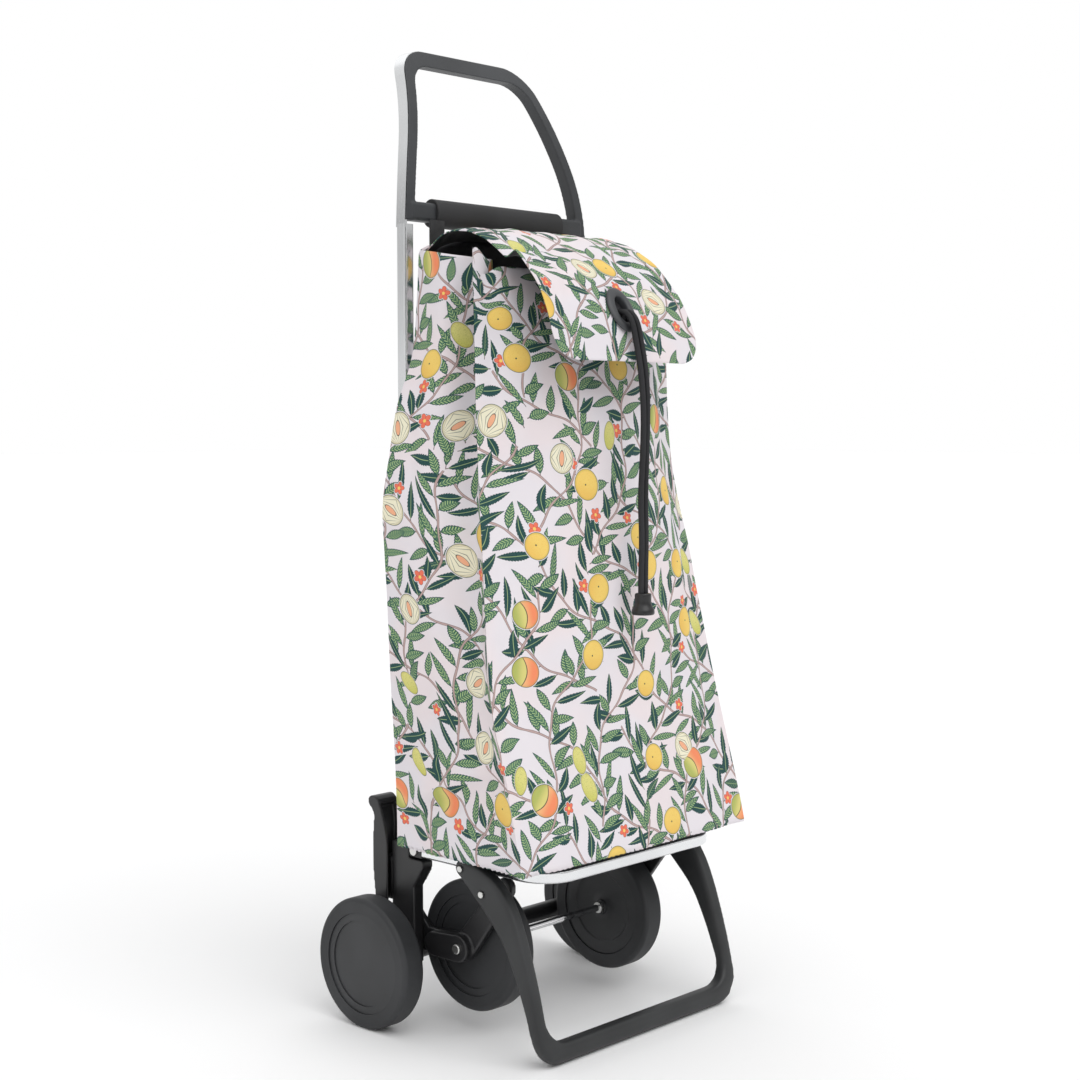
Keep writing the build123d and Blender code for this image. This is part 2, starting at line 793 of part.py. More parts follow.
# Routes from the eyelet down to the bell: x, y, z.
strand_routes = {
    "drawcord_near": [
        (-3.3, -101.7, 743.6),
        (-3.3, -115.1, 746.0),
        (-3.0, -123.6, 744.7),
        (-2.6, -129.5, 738.7),
        (-1.8, -132.7, 729.1),
        (-0.8, -134.3, 717.5),
        (1.0, -136.6, 702),
        (4.0, -138.2, 680),
        (7.5, -138.5, 645),
        (8.0, -137.0, 600),
        (4.5, -136.8, 556),
        (7.6, -136.5, 512),
        (6.6, -136.0, 480),
        (6.6, -136.0, bell_top),
    ],
    "drawcord_far": [
        (3.3, -101.5, 744.1),
        (3.5, -115.1, 746.5),
        (3.9, -123.7, 745.2),
        (4.4, -129.9, 739.0),
        (5.3, -133.3, 729.4),
        (6.4, -135.0, 717.7),
        (8.3, -137.2, 702),
        (11.4, -138.6, 680),
        (14.3, -138.0, 646),
        (14.6, -136.4, 602),
        (12.6, -136.2, 558),
        (14.6, -136.0, 514),
        (13.4, -136.0, 482),
        (13.4, -136.0, bell_top),
    ],
}


def corner_radii(points):
    """Largest tangent arc that each corner's two runs leave room for."""
    radii = []
    for before, here, after in zip(points, points[1:], points[2:]):
        first = Vector(*here) - Vector(*before)
        second = Vector(*after) - Vector(*here)
        turn = radians(first.get_angle(second))
        radii.append(0.45 * min(first.length, second.length) / tan(turn / 2))
    return radii


for name, route in strand_routes.items():
    radii = corner_radii(route)
    with BuildPart() as strand:
        with BuildLine() as strand_path:
            FilletPolyline(*route, radius=radii)
        start_tangent = Vector(*route[1]) - Vector(*route[0])
        with BuildSketch(Plane(origin=route[0], z_dir=start_tangent)):
            Circle(cord_diameter / 2)
        sweep(path=strand_path.wires()[0])
    save(strand, name)
    length = strand_path.wires()[0].length
    section = 3.14159 * (cord_diameter / 2) ** 2
    print(f"  length {length:.1f} mm, volume ratio {strand.part.volume / (section * length):.4f}")
    print("  radii", [round(radius) for radius in radii])

bell_height = 22
bell_axis_x = 10.0
bell_y = -136
with BuildPart() as cord_bell:
    with BuildSketch(Plane(origin=(bell_axis_x, bell_y, bell_top), x_dir=(1, 0, 0), z_dir=(0, -1, 0))):
        with BuildLine():
            Line((0, 0), (7.4, 0))
            bell_side = Spline(
                (7.4, 0),
                (8.6, -4),
                (9.6, -13),
                (11.6, -17),
                (12, -bell_height + 1.5),
                tangents=[(1, -0.3), (0, -1)],
            )
            Line(bell_side @ 1, (11, -bell_height))
            Line((11, -bell_height), (0, -bell_height))
            Line((0, -bell_height), (0, 0))
        make_face()
    revolve(axis=Axis((bell_axis_x, bell_y, bell_top), (0, 0, 1)))
    with BuildSketch(Plane(origin=(bell_axis_x, bell_y, bell_top - bell_height))):
        Circle(8)
    extrude(amount=3, mode=Mode.SUBTRACT)
save(cord_bell, "cord_bell")
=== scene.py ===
import json
import math

import bmesh
import bpy
import numpy as np
from mathutils import Matrix, Vector

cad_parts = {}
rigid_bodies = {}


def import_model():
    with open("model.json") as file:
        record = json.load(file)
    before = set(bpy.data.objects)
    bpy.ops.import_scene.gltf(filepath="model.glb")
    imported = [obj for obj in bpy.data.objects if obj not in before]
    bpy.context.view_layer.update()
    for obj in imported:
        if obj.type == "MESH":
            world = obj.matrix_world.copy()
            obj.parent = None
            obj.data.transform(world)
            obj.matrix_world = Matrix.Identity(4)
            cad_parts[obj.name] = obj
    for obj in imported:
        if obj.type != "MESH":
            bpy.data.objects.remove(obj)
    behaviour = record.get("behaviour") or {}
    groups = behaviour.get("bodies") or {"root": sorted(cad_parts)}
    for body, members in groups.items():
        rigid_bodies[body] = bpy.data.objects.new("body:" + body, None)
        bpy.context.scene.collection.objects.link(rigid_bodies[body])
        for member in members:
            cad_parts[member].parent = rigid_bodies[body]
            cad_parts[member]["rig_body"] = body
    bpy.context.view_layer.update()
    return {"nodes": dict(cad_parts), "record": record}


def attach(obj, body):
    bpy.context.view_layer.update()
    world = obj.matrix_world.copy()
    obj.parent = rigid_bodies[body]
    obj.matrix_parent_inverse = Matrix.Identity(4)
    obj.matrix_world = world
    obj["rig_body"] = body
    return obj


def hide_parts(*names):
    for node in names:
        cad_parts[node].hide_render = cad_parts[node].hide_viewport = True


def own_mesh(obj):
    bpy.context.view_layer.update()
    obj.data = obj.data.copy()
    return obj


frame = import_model()
nodes = frame["nodes"]

# ---------------------------------------------------------------- camera, floor and light

CAMERA_PLACE = (-1.4011, -1.3269, 0.6341)
CAMERA_TURN = math.radians(-46.55)
CAMERA_TILT = math.radians(90 - 3.76)
CAMERA_ROLL = math.radians(-0.07)
CAMERA_LENS = 60.04

camera_data = bpy.data.cameras.new("camera")
camera_data.lens = CAMERA_LENS
camera_data.sensor_width = 36
camera = bpy.data.objects.new("camera", camera_data)
bpy.context.scene.collection.objects.link(camera)
camera.matrix_world = (
    Matrix.Translation(CAMERA_PLACE)
    @ Matrix.Rotation(CAMERA_TURN, 4, "Z")
    @ Matrix.Rotation(CAMERA_TILT, 4, "X")
    @ Matrix.Rotation(CAMERA_ROLL, 4, "Z")
)
bpy.context.scene.camera = camera


def sun(name, towards, strength, softness):
    """Even light over the whole floor, from one direction."""
    data = bpy.data.lights.new(name, "SUN")
    data.energy = strength
    data.angle = math.radians(softness)
    light = bpy.data.objects.new(name, data)
    bpy.context.scene.collection.objects.link(light)
    light.location = (0, 0, 3)
    light.rotation_mode = "QUATERNION"
    light.rotation_quaternion = Vector(towards).to_track_quat("-Z", "Y")


sun("key", (0.10, 0.75, -1.0), 1.05, 50)
sun("fill", (0.9, 0.35, -0.55), 0.30, 60)
sun("back", (-0.6, -0.9, -0.9), 0.30, 60)


# ---------------------------------------------------------------- small shader language

class Graph:
    """Builds a material's nodes. Values passed in are sockets or plain numbers."""

    def __init__(self, name):
        self.material = bpy.data.materials.new(name)
        self.material.use_nodes = True
        self.tree = self.material.node_tree
        self.tree.nodes.clear()
        self.output = self.tree.nodes.new("ShaderNodeOutputMaterial")
        self.shader = self.tree.nodes.new("ShaderNodeBsdfPrincipled")
        self.tree.links.new(self.shader.outputs["BSDF"], self.output.inputs["Surface"])

    def put(self, socket, value):
        if isinstance(value, bpy.types.NodeSocket):
            self.tree.links.new(value, socket)
        elif isinstance(value, (tuple, list)) and len(value) == 3 and socket.type == "RGBA":
            socket.default_value = (*value, 1)
        else:
            socket.default_value = value

    def surface(self, **values):
        for name, value in values.items():
            self.put(self.shader.inputs[name.replace("_", " ")], value)

    def math(self, operation, a, b=None, c=None, clamp=False):
        node = self.tree.nodes.new("ShaderNodeMath")
        node.operation = operation
        node.use_clamp = clamp
        for socket, value in zip(node.inputs, (a, b, c)):
            if value is not None:
                self.put(socket, value)
        return node.outputs[0]

    def add(self, a, b):
        return self.math("ADD", a, b)

    def sub(self, a, b):
        return self.math("SUBTRACT", a, b)

    def mul(self, a, b):
        return self.math("MULTIPLY", a, b)

    def xyz(self, vector):
        node = self.tree.nodes.new("ShaderNodeSeparateXYZ")
        self.put(node.inputs[0], vector)
        return node.outputs[0], node.outputs[1], node.outputs[2]

    def vector(self, x, y, z=0.0):
        node = self.tree.nodes.new("ShaderNodeCombineXYZ")
        for socket, value in zip(node.inputs, (x, y, z)):
            self.put(socket, value)
        return node.outputs[0]

    def mix(self, factor, a, b):
        node = self.tree.nodes.new("ShaderNodeMix")
        node.data_type = "RGBA"
        self.put(node.inputs[0], factor)
        self.put(node.inputs[6], a)
        self.put(node.inputs[7], b)
        return node.outputs[2]

    def step(self, value, low, high, to_low=0.0, to_high=1.0):
        node = self.tree.nodes.new("ShaderNodeMapRange")
        node.interpolation_type = "SMOOTHSTEP"
        for socket, number in zip(node.inputs[:5], (value, low, high, to_low, to_high)):
            self.put(socket, number)
        return node.outputs[0]

    def noise(self, vector, scale, detail=2.0, roughness=0.5, kind="3D"):
        node = self.tree.nodes.new("ShaderNodeTexNoise")
        node.noise_dimensions = kind
        self.put(node.inputs["Vector"], vector)
        self.put(node.inputs["Scale"], scale)
        self.put(node.inputs["Detail"], detail)
        self.put(node.inputs["Roughness"], roughness)
        return node.outputs[0]

    def random(self, vector):
        """Three random numbers for a vector of whole numbers."""
        node = self.tree.nodes.new("ShaderNodeTexWhiteNoise")
        node.noise_dimensions = "3D"
        self.put(node.inputs["Vector"], vector)
        return self.xyz(node.outputs["Color"])

    def cells(self, x, y, cell, shift, randomness):
        """Three random numbers for the cell that x, y lies in, and the place within that cell."""
        across = self.add(self.mul(x, 1 / cell), shift[0])
        up = self.add(self.mul(y, 1 / cell), shift[1])
        node = self.tree.nodes.new("ShaderNodeTexVoronoi")
        node.voronoi_dimensions = "2D"
        self.put(node.inputs["Vector"], self.vector(across, up))
        self.put(node.inputs["Scale"], 1.0)
        self.put(node.inputs["Randomness"], randomness)
        middle_x, middle_y, _ = self.xyz(node.outputs["Position"])
        local_x = self.mul(self.sub(across, middle_x), cell)
        local_y = self.mul(self.sub(up, middle_y), cell)
        return self.xyz(node.outputs["Color"]), local_x, local_y

    def radius(self, x, y):
        return self.math("SQRT", self.add(self.mul(x, x), self.mul(y, y)))

    def coordinates(self, output="Object"):
        return self.tree.nodes.new("ShaderNodeTexCoord").outputs[output]

    def uv(self, name):
        node = self.tree.nodes.new("ShaderNodeUVMap")
        node.uv_map = name
        return node.outputs[0]

    def scale(self, vector, factors):
        node = self.tree.nodes.new("ShaderNodeVectorMath")
        node.operation = "MULTIPLY"
        self.put(node.inputs[0], vector)
        self.put(node.inputs[1], factors)
        return node.outputs[0]

    def turn(self, x, y, angle):
        """x and y turned by an angle that is a number or a socket."""
        if isinstance(angle, bpy.types.NodeSocket):
            c = self.math("COSINE", angle)
            s = self.math("SINE", angle)
        else:
            c = math.cos(angle)
            s = math.sin(angle)
        return (
            self.add(self.mul(x, c), self.mul(y, s)),
            self.sub(self.mul(y, c), self.mul(x, s)),
        )

    def bump(self, height, strength, distance):
        node = self.tree.nodes.new("ShaderNodeBump")
        self.put(node.inputs["Height"], height)
        self.put(node.inputs["Strength"], strength)
        self.put(node.inputs["Distance"], distance)
        return node.outputs[0]


# ---------------------------------------------------------------- studio walls

# Brightness of the walls that the metal mirrors: height (0 level, 1 straight up) and level.
WALL_FOOT = (0.80, 0.80, 0.80, 1)
WALL_TOP = (0.85, 0.85, 0.86, 1)
WALL_BANDS = ((0.06, 0.72), (0.16, 0.42), (0.30, 0.58), (0.55, 0.85))
# A dark area of the studio beyond the front left corner, which the bright metal mirrors.
DARK_SIDE = (-0.726, -0.688, 0.0)
DARK_COLOUR = (0.05, 0.05, 0.05)
WHITE = (1, 1, 1)


class Studio(Graph):
    """The shader language on a world's own nodes."""

    def __init__(self, name):
        self.world = bpy.data.worlds.new(name)
        self.world.use_nodes = True
        self.tree = self.world.node_tree


def studio_world():
    g = Studio("studio")
    direction = g.coordinates("Generated")
    _, _, height = g.xyz(direction)
    walls = g.tree.nodes.new("ShaderNodeValToRGB")
    walls.color_ramp.elements[0].color = WALL_FOOT
    walls.color_ramp.elements[1].color = WALL_TOP
    for place, level in WALL_BANDS:
        walls.color_ramp.elements.new(place).color = (level, level, level, 1)
    g.put(walls.inputs["Fac"], height)
    towards = g.tree.nodes.new("ShaderNodeVectorMath")
    towards.operation = "DOT_PRODUCT"
    towards.inputs[1].default_value = DARK_SIDE
    g.put(towards.inputs[0], direction)
    wide = g.step(towards.outputs["Value"], 0.84, 0.93)
    high = g.step(g.math("ABSOLUTE", height), 0.24, 0.36, 1.0, 0.0)
    mirrored = g.mix(g.mul(wide, high), walls.outputs["Color"], DARK_COLOUR)
    to_camera = g.tree.nodes.new("ShaderNodeLightPath").outputs["Is Camera Ray"]
    background = g.tree.nodes["Background"]
    g.put(background.inputs["Color"], g.mix(to_camera, mirrored, WHITE))
    g.put(background.inputs["Strength"], 1.0)
    return g.world


bpy.context.scene.world = studio_world()
bpy.context.scene.view_settings.view_transform = "Standard"


# ---------------------------------------------------------------- printed cloth

CLOTH_UV = "cloth"
TEAL = (0.013, 0.062, 0.060)
LEAF_GREEN = (0.036, 0.128, 0.088)
LEAF_VEIN = (0.40, 0.54, 0.24)
BRANCH = (0.47, 0.34, 0.32)
BRANCH_EDGE = (0.12, 0.085, 0.08)
YELLOW = (0.85, 0.60, 0.15)
ORANGE = (0.76, 0.45, 0.09)
PEACH = (0.85, 0.26, 0.12)
PEACH_PALE = (0.84, 0.44, 0.20)
PEACH_GREEN = (0.66, 0.60, 0.20)
PEACH_DARK_GREEN = (0.42, 0.46, 0.12)
LEMON = (0.69, 0.65, 0.22)
LEMON_SHADE = (0.55, 0.55, 0.10)
LEMON_DOTS = (0.35, 0.38, 0.07)
CREAM = (0.82, 0.78, 0.60)
HEART = (0.84, 0.42, 0.25)
FRUIT_RIM = (0.40, 0.30, 0.07)
FRUIT_LINE = (0.05, 0.09, 0.05)
CORAL = (0.80, 0.17, 0.10)
CORAL_HEART = (0.45, 0.08, 0.05)
INK = (0.03, 0.05, 0.045)
GROUND = (0.755, 0.715, 0.750)
GROUND_WARM = (0.785, 0.705, 0.722)
FIBRE = (0.62, 0.60, 0.62)

# Sizes in the print, in millimetres.
LEAF_SHORTEST = 27.0
LEAF_SPREAD = 13.0
LEAF_HALF_WIDTH = 5.3
FRUIT_SMALLEST = 13.4
FRUIT_SPREAD = 2.6
MM = 1000.0


def leaf_layer(g, colour, x, y, seed, angle, spacing, pitch, sway, lean):
    """Draws wavy branches with leaves on both sides over colour. Lengths are in millimetres."""
    x, y = g.turn(g.add(x, 37.0 * seed), g.add(y, 53.0 * seed), angle)
    wave = g.math("SINE", g.mul(y, 2 * math.pi / 171.0))
    ripple = g.math("SINE", g.mul(y, 2 * math.pi / 47.0))
    x = g.add(x, g.add(g.mul(wave, sway), g.mul(ripple, 0.12 * sway)))
    column = g.math("FLOOR", g.add(g.mul(x, 1 / spacing), 0.5))
    across = g.sub(x, g.mul(column, spacing))
    phase, _, _ = g.random(g.vector(column, 7.0 + seed, 3.0))
    y = g.add(y, g.mul(phase, 200.0))
    side = g.math("SIGN", across)
    away = g.math("ABSOLUTE", across)
    along = g.add(y, g.mul(side, pitch / 4))
    row = g.math("FLOOR", g.mul(g.sub(along, g.mul(away, 1 / math.tan(lean))), 1 / pitch))
    from_joint = g.sub(along, g.mul(g.add(row, 0.5), pitch))
    length_draw, turn_draw, tone_draw = g.random(g.vector(column, row, g.add(side, 11.0 + seed)))
    tilt = g.add(lean, g.mul(g.sub(turn_draw, 0.5), 0.30))
    reach = g.add(g.mul(away, g.math("SINE", tilt)), g.mul(from_joint, g.math("COSINE", tilt)))
    off = g.sub(g.mul(from_joint, g.math("SINE", tilt)), g.mul(away, g.math("COSINE", tilt)))
    bend = g.mul(g.sub(tone_draw, 0.5), 0.016)
    off = g.add(off, g.mul(g.mul(reach, reach), bend))
    leaf_length = g.add(LEAF_SHORTEST, g.mul(length_draw, LEAF_SPREAD))
    share = g.math("DIVIDE", g.sub(reach, 3.0), leaf_length)
    share = g.math("MINIMUM", g.math("MAXIMUM", share, 0.0), 1.0)
    bow = g.math("SINE", g.mul(g.math("POWER", share, 0.8), math.pi))
    teeth = g.math("FRACT", g.mul(reach, 1 / 3.1))
    half = g.sub(g.mul(g.math("POWER", bow, 0.85), LEAF_HALF_WIDTH), g.mul(teeth, bow))
    width = g.math("ABSOLUTE", off)
    inside = g.sub(half, width)
    kept = g.step(g.math("FRACT", g.mul(length_draw, 7.31)), 0.10, 0.101)

    # Branches and leaf stalks, under the leaves.
    knots = g.noise(g.vector(g.mul(x, 0.05), g.mul(y, 0.09), seed), 1.0, 1.0)
    thickness = g.add(0.35, g.mul(knots, 1.1))
    breaks = g.noise(g.vector(column, g.mul(y, 0.011), 4.0 + seed), 1.0, 0.0)
    there = g.step(breaks, 0.36, 0.37)
    edge = g.mul(g.step(g.sub(g.add(thickness, 0.38), away), -0.12, 0.12), there)
    wood = g.mul(g.step(g.sub(thickness, away), -0.12, 0.12), there)
    stalk = g.mul(
        g.mul(g.step(width, 0.42, 0.62, 1.0, 0.0), g.step(reach, 4.0, 5.0, 1.0, 0.0)),
        g.mul(g.step(reach, 0.0, 0.3), kept),
    )
    colour = g.mix(g.mul(stalk, 0.9), colour, BRANCH_EDGE)
    colour = g.mix(edge, colour, BRANCH_EDGE)
    colour = g.mix(wood, colour, BRANCH)

    # Leaf: dark rim, green inside on the lit half, pale midrib and side veins.
    mask = g.mul(g.step(inside, 0.0, 0.35), kept)
    tone = g.step(tone_draw, 0.38, 0.42)
    lit = g.mix(tone, TEAL, LEAF_GREEN)
    body = g.mix(g.step(inside, 0.7, 1.2), TEAL, lit)
    ribs = g.math("FRACT", g.mul(g.sub(reach, g.mul(width, 1.15)), 1 / 3.4))
    rib = g.mul(g.step(ribs, 0.50, 0.62), g.step(inside, 1.0, 1.5))
    rib = g.mul(rib, g.mul(tone, g.step(width, 0.35, 0.6)))
    body = g.mix(g.mul(rib, 0.9), body, LEAF_VEIN)
    midrib = g.mul(g.step(width, 0.22, 0.45, 1.0, 0.0), g.step(share, 0.86, 0.95, 1.0, 0.0))
    body = g.mix(g.mul(midrib, g.sub(0.75, g.mul(tone, 0.55))), body, LEAF_VEIN)
    return g.mix(mask, colour, body)


def fruit_layer(g, colour, x, y, cell, seed, randomness):
    """Draws round and oval fruit of several kinds over colour."""
    draws, local_x, local_y = g.cells(x, y, cell, (3.7 * seed, 5.3 * seed), randomness)
    kind, size_draw, turn_draw = draws
    local_x, local_y = g.turn(local_x, local_y, g.mul(g.sub(turn_draw, 0.5), 2.4))
    is_lemon = g.step(kind, 0.72, 0.721)
    is_pome = g.mul(g.step(kind, 0.52, 0.521), g.sub(1.0, is_lemon))
    is_peach = g.mul(g.step(kind, 0.38, 0.381), g.step(kind, 0.52, 0.521, 1.0, 0.0))
    squeeze = g.add(1.0, g.mul(is_lemon, 0.75))
    stretch = g.add(1.0, g.mul(is_pome, -0.08))
    r = g.radius(g.mul(local_x, squeeze), g.mul(local_y, stretch))
    size = g.add(FRUIT_SMALLEST, g.mul(size_draw, FRUIT_SPREAD))
    inside = g.sub(size, r)
    whole = g.mul(r, g.math("DIVIDE", 1.0, size))

    # Yellow fruit, darker towards one side, with fine dots and an eye.
    shade = g.step(g.add(g.mul(local_x, 0.06), g.mul(local_y, -0.05)), -0.3, 1.0)
    dots = g.noise(g.vector(local_x, local_y, seed), 1.35, 0.0)
    yellow = g.mix(g.mul(shade, 0.6), YELLOW, ORANGE)
    yellow = g.mix(g.mul(g.step(dots, 0.60, 0.64), 0.35), yellow, ORANGE)
    eye = g.radius(g.sub(local_x, 1.6), g.sub(local_y, 0.8))
    yellow = g.mix(g.step(eye, 0.7, 1.1, 1.0, 0.0), yellow, INK)

    # Peach in two tones, split by a curved line.
    split = g.add(local_x, g.sub(1.5, g.mul(g.mul(local_y, local_y), 0.028)))
    peach_left = g.mix(g.step(local_x, -9.0, 2.0), PEACH, PEACH_PALE)
    peach_right = g.mix(g.step(local_x, 1.0, 11.0), PEACH_GREEN, PEACH_DARK_GREEN)
    peach = g.mix(g.step(split, -0.2, 0.2), peach_left, peach_right)
    peach = g.mix(g.step(g.math("ABSOLUTE", split), 0.3, 0.6, 1.0, 0.0), peach, INK)

    # Round seed fruit in cream, with ribs and an orange heart.
    rib_spread = g.add(g.sub(size, g.mul(g.math("ABSOLUTE", local_y), 0.85)), 0.5)
    rib_place = g.math("FRACT", g.add(g.mul(g.math("DIVIDE", local_x, rib_spread), 2.3), 0.5))
    rib = g.step(g.math("ABSOLUTE", g.sub(rib_place, 0.5)), 0.03, 0.09, 1.0, 0.0)
    heart = g.radius(g.mul(local_x, 2.6), local_y)
    pome = g.mix(g.mul(rib, 0.8), CREAM, INK)
    pome = g.mix(g.step(heart, 8.2, 8.8, 1.0, 0.0), pome, INK)
    pome = g.mix(g.step(heart, 7.2, 7.7, 1.0, 0.0), pome, HEART)

    lemon = g.mix(g.mul(shade, 0.7), LEMON, LEMON_SHADE)
    lemon = g.mix(g.mul(g.step(dots, 0.62, 0.66), 0.5), lemon, LEMON_DOTS)

    fruit = g.mix(is_peach, yellow, peach)
    fruit = g.mix(is_pome, fruit, pome)
    fruit = g.mix(is_lemon, fruit, lemon)
    fruit = g.mix(g.mul(g.step(whole, 0.80, 1.0), 0.35), fruit, FRUIT_RIM)
    colour = g.mix(g.step(inside, -1.3, -1.0), colour, GROUND)
    colour = g.mix(g.step(inside, -0.55, -0.25), colour, FRUIT_LINE)
    return g.mix(g.step(inside, 0.0, 0.3), colour, fruit)


def flower_layer(g, colour, x, y, cell, seed):
    """Draws small five-petalled flowers over colour."""
    draws, local_x, local_y = g.cells(x, y, cell, (2.9 * seed, 7.1 * seed), 0.8)
    there_draw, turn_draw, size_draw = draws
    angle = g.add(g.math("ARCTAN2", local_y, local_x), g.mul(turn_draw, 6.0))
    r = g.radius(local_x, local_y)
    petal = g.math("ABSOLUTE", g.math("COSINE", g.mul(angle, 2.5)))
    edge = g.mul(g.add(4.2, g.mul(petal, 3.0)), g.add(0.85, g.mul(size_draw, 0.25)))
    inside = g.sub(edge, r)
    there = g.step(there_draw, 0.30, 0.301)
    colour = g.mix(g.mul(g.step(inside, -1.3, -1.0), there), colour, GROUND)
    colour = g.mix(g.mul(g.step(inside, -0.4, -0.15), there), colour, INK)
    inner = g.mix(g.step(petal, 0.0, 0.35), CORAL_HEART, CORAL)
    inner = g.mix(g.step(r, 1.5, 1.9, 1.0, 0.0), inner, YELLOW)
    return g.mix(g.mul(g.step(inside, 0.0, 0.2), there), colour, inner)


def weave_height(g, x, y, thread):
    """Plain weave of the given thread width in millimetres."""
    warp = g.math("SINE", g.mul(x, math.pi / thread))
    weft = g.math("SINE", g.mul(y, math.pi / thread))
    return g.mul(warp, weft)


def printed_cloth():
    g = Graph("printed_cloth")
    u, v, _ = g.xyz(g.uv(CLOTH_UV))
    x = g.mul(u, MM)
    y = g.mul(v, MM)
    tint = g.noise(g.vector(x, y), 0.012, 1.0, kind="2D")
    colour = g.mix(g.step(tint, 0.40, 0.62), GROUND, GROUND_WARM)
    colour = leaf_layer(g, colour, x, y, 2.0, math.radians(-50), 68.0, 22.0, 10.0, math.radians(52))
    colour = leaf_layer(g, colour, x, y, 1.0, math.radians(24), 70.0, 21.0, 13.0, math.radians(48))
    colour = flower_layer(g, colour, x, y, 74.0, 1.0)
    colour = fruit_layer(g, colour, x, y, 76.0, 1.0, 0.85)
    fibre = g.noise(g.vector(x, y), 0.9, 3.0, 0.6, kind="2D")
    colour = g.mix(g.mul(g.sub(fibre, 0.45), 0.18), colour, FIBRE)
    height = g.add(weave_height(g, x, y, 0.45), g.mul(fibre, 0.6))
    g.surface(
        Base_Color=colour,
        Roughness=0.72,
        Normal=g.bump(height, 0.25, 0.0002),
        Sheen_Weight=0.03,
        Sheen_Roughness=0.5,
        Specular_IOR_Level=0.25,
    )
    return g.material


def plain_cloth(name, colour, thread, roughness, upright=False):
    """Plain woven cloth. upright is for a CAD piece across the trolley, without cloth coordinates."""
    g = Graph(name)
    if upright:
        u, _, v = g.xyz(g.coordinates())
    else:
        u, v, _ = g.xyz(g.uv(CLOTH_UV))
    x = g.mul(u, MM)
    y = g.mul(v, MM)
    soft = g.noise(g.vector(x, y), 0.08, 3.0, 0.6, kind="2D")
    height = g.add(weave_height(g, x, y, thread), g.mul(soft, 1.5))
    lighter = tuple(min(1.0, c * 1.8 + 0.004) for c in colour)
    g.surface(
        Base_Color=g.mix(g.step(soft, 0.3, 0.75), colour, lighter),
        Roughness=roughness,
        Normal=g.bump(height, 0.35, 0.0003),
        Sheen_Weight=0.12,
        Sheen_Roughness=0.4,
    )
    return g.material


def moulded(name, colour, roughness, grain, grain_scale=900.0):
    """Moulded plastic or rubber with a fine grain and slight unevenness."""
    g = Graph(name)
    place = g.coordinates()
    broad = g.noise(place, 14.0, 2.0)
    fine = g.noise(place, grain_scale, 2.0, 0.6)
    lighter = tuple(c * 1.35 + 0.004 for c in colour)
    rough = g.add(roughness - 0.05, g.mul(broad, 0.10))
    g.surface(
        Base_Color=g.mix(g.step(broad, 0.35, 0.7), colour, lighter),
        Roughness=rough,
        Normal=g.bump(fine, grain, 0.0002),
    )
    return g.material


def metal(name, colour, roughness, brushing, stretch):
    """Metal with fine drawing lines along one axis."""
    g = Graph(name)
    place = g.scale(g.coordinates(), stretch)
    lines = g.noise(place, 1.0, 3.0, 0.65)
    cloud = g.noise(g.coordinates(), 9.0, 2.0)
    rough = g.add(roughness, g.mul(g.sub(lines, 0.5), brushing))
    darker = tuple(c * 0.90 for c in colour)
    g.surface(
        Base_Color=g.mix(g.step(cloud, 0.35, 0.7), colour, darker),
        Roughness=rough,
        Normal=g.bump(lines, 0.06, 0.0001),
        Metallic=1.0,
    )
    return g.material


cloth = printed_cloth()
lining_cloth = plain_cloth("black_lining", (0.010, 0.010, 0.012), 0.5, 0.55)
back_cloth = plain_cloth("black_back_cloth", (0.012, 0.012, 0.014), 0.7, 0.7)
webbing = plain_cloth("black_webbing", (0.014, 0.014, 0.015), 1.1, 0.7, upright=True)
cord_braid = moulded("cord_braid", (0.010, 0.010, 0.012), 0.75, 0.6, 1400.0)
aluminium = metal("aluminium_tube", (0.80, 0.81, 0.82), 0.24, 0.22, (900.0, 900.0, 9.0))
aluminium_base = metal("aluminium_base", (0.80, 0.81, 0.82), 0.20, 0.16, (30.0, 30.0, 900.0))
chrome = metal("chrome_axle", (0.86, 0.86, 0.87), 0.08, 0.05, (9.0, 700.0, 700.0))
zinc = metal("zinc_steel", (0.68, 0.68, 0.66), 0.30, 0.12, (400.0, 400.0, 400.0))
grip_plastic = moulded("grip_plastic", (0.026, 0.028, 0.031), 0.52, 0.30)
sleeve_rubber = moulded("sleeve_rubber", (0.012, 0.012, 0.013), 0.62, 0.35)
black_plastic = moulded("black_plastic", (0.011, 0.011, 0.012), 0.36, 0.15)
leg_plastic = moulded("leg_plastic", (0.017, 0.018, 0.019), 0.50, 0.22)
eyelet_plastic = moulded("eyelet_plastic", (0.042, 0.044, 0.048), 0.42, 0.2)
tyre_rubber = moulded("tyre_rubber", (0.019, 0.020, 0.022), 0.60, 0.30)
wheel_plastic = moulded("wheel_plastic", (0.020, 0.021, 0.023), 0.50, 0.22)
board_finish = moulded("board_finish", (0.02, 0.02, 0.02), 0.8, 0.5)

by_slot = {
    "aluminium_tube": aluminium,
    "grip_plastic": grip_plastic,
    "sleeve_rubber": sleeve_rubber,
    "black_strap": webbing,
    "black_plastic": black_plastic,
    "leg_plastic": leg_plastic,
    "zinc_steel": zinc,
    "chrome_axle": chrome,
    "tyre_rubber": tyre_rubber,
    "wheel_plastic": wheel_plastic,
    "base_board": board_finish,
    "printed_cloth": cloth,
    "black_lining": lining_cloth,
    "black_cord": cord_braid,
    "eyelet_plastic": eyelet_plastic,
    "bell_plastic": black_plastic,
}
slot_of = {row["node"]: row["material_slot"] for row in frame["record"]["subparts"]}
for name, node in nodes.items():
    node.data.materials.clear()
    node.data.materials.append(by_slot[slot_of[name]])
nodes["base_frame_tube"].data.materials[0] = aluminium_base


# ---------------------------------------------------------------- mesh helpers

def new_object(name, mesh):
    piece = bpy.data.objects.new(name, mesh)
    bpy.context.scene.collection.objects.link(piece)
    return piece


